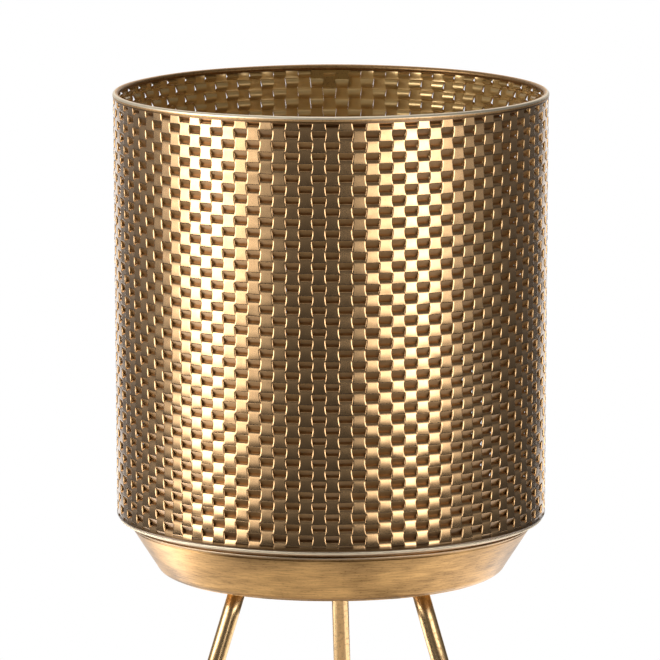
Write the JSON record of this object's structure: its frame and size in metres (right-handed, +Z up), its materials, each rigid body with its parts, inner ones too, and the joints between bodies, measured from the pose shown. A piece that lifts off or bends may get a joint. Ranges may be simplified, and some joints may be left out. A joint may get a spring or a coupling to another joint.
{
  "type": "planter pot on legs",
  "caption": "Round metal planter with a basket-weave drum, a wire rim and a tapered dish base, standing on splayed tube legs.",
  "frame": {"origin": "on the pot's axis at the floor, under the middle of the drum", "axes": "+Z up along the drum's axis, -Y towards the front, with the lap seam and the back leg towards +Y"},
  "size_m": [0.3012, 0.3012, 0.5363],
  "materials": {
    "woven_brass": "antique brass plated sheet, pressed and slit, lacquered, dark in the hollows",
    "rim_brass": "round wire hoop, plated, rubbed bright on its top",
    "braze": "brazing alloy as it set, dull and speckled",
    "dish_brass": "spun and brushed round, clear lacquer, faint brown speckle",
    "disc_brass": "rolled sheet, brushed",
    "leg_brass": "antique plated tube, polished",
    "socket_steel": "turned steel, brass plated",
    "stud_steel": "zinc plated, threaded",
    "foot_rubber": "moulded, matt"
  },
  "bodies": {
    "root": {"pot_wall": "woven_brass", "rim_hoop": "rim_brass", "seam_braze": "braze", "base_dish": "dish_brass", "bottom_disc": "disc_brass", "hem_tacks": "braze", "disc_tacks": "braze", "leg_back": "leg_brass", "leg_front_right": "leg_brass", "leg_front_left": "leg_brass", "leg_sockets": "socket_steel", "leg_studs": "stud_steel", "feet": "foot_rubber"}
  },
  "joints": []
}
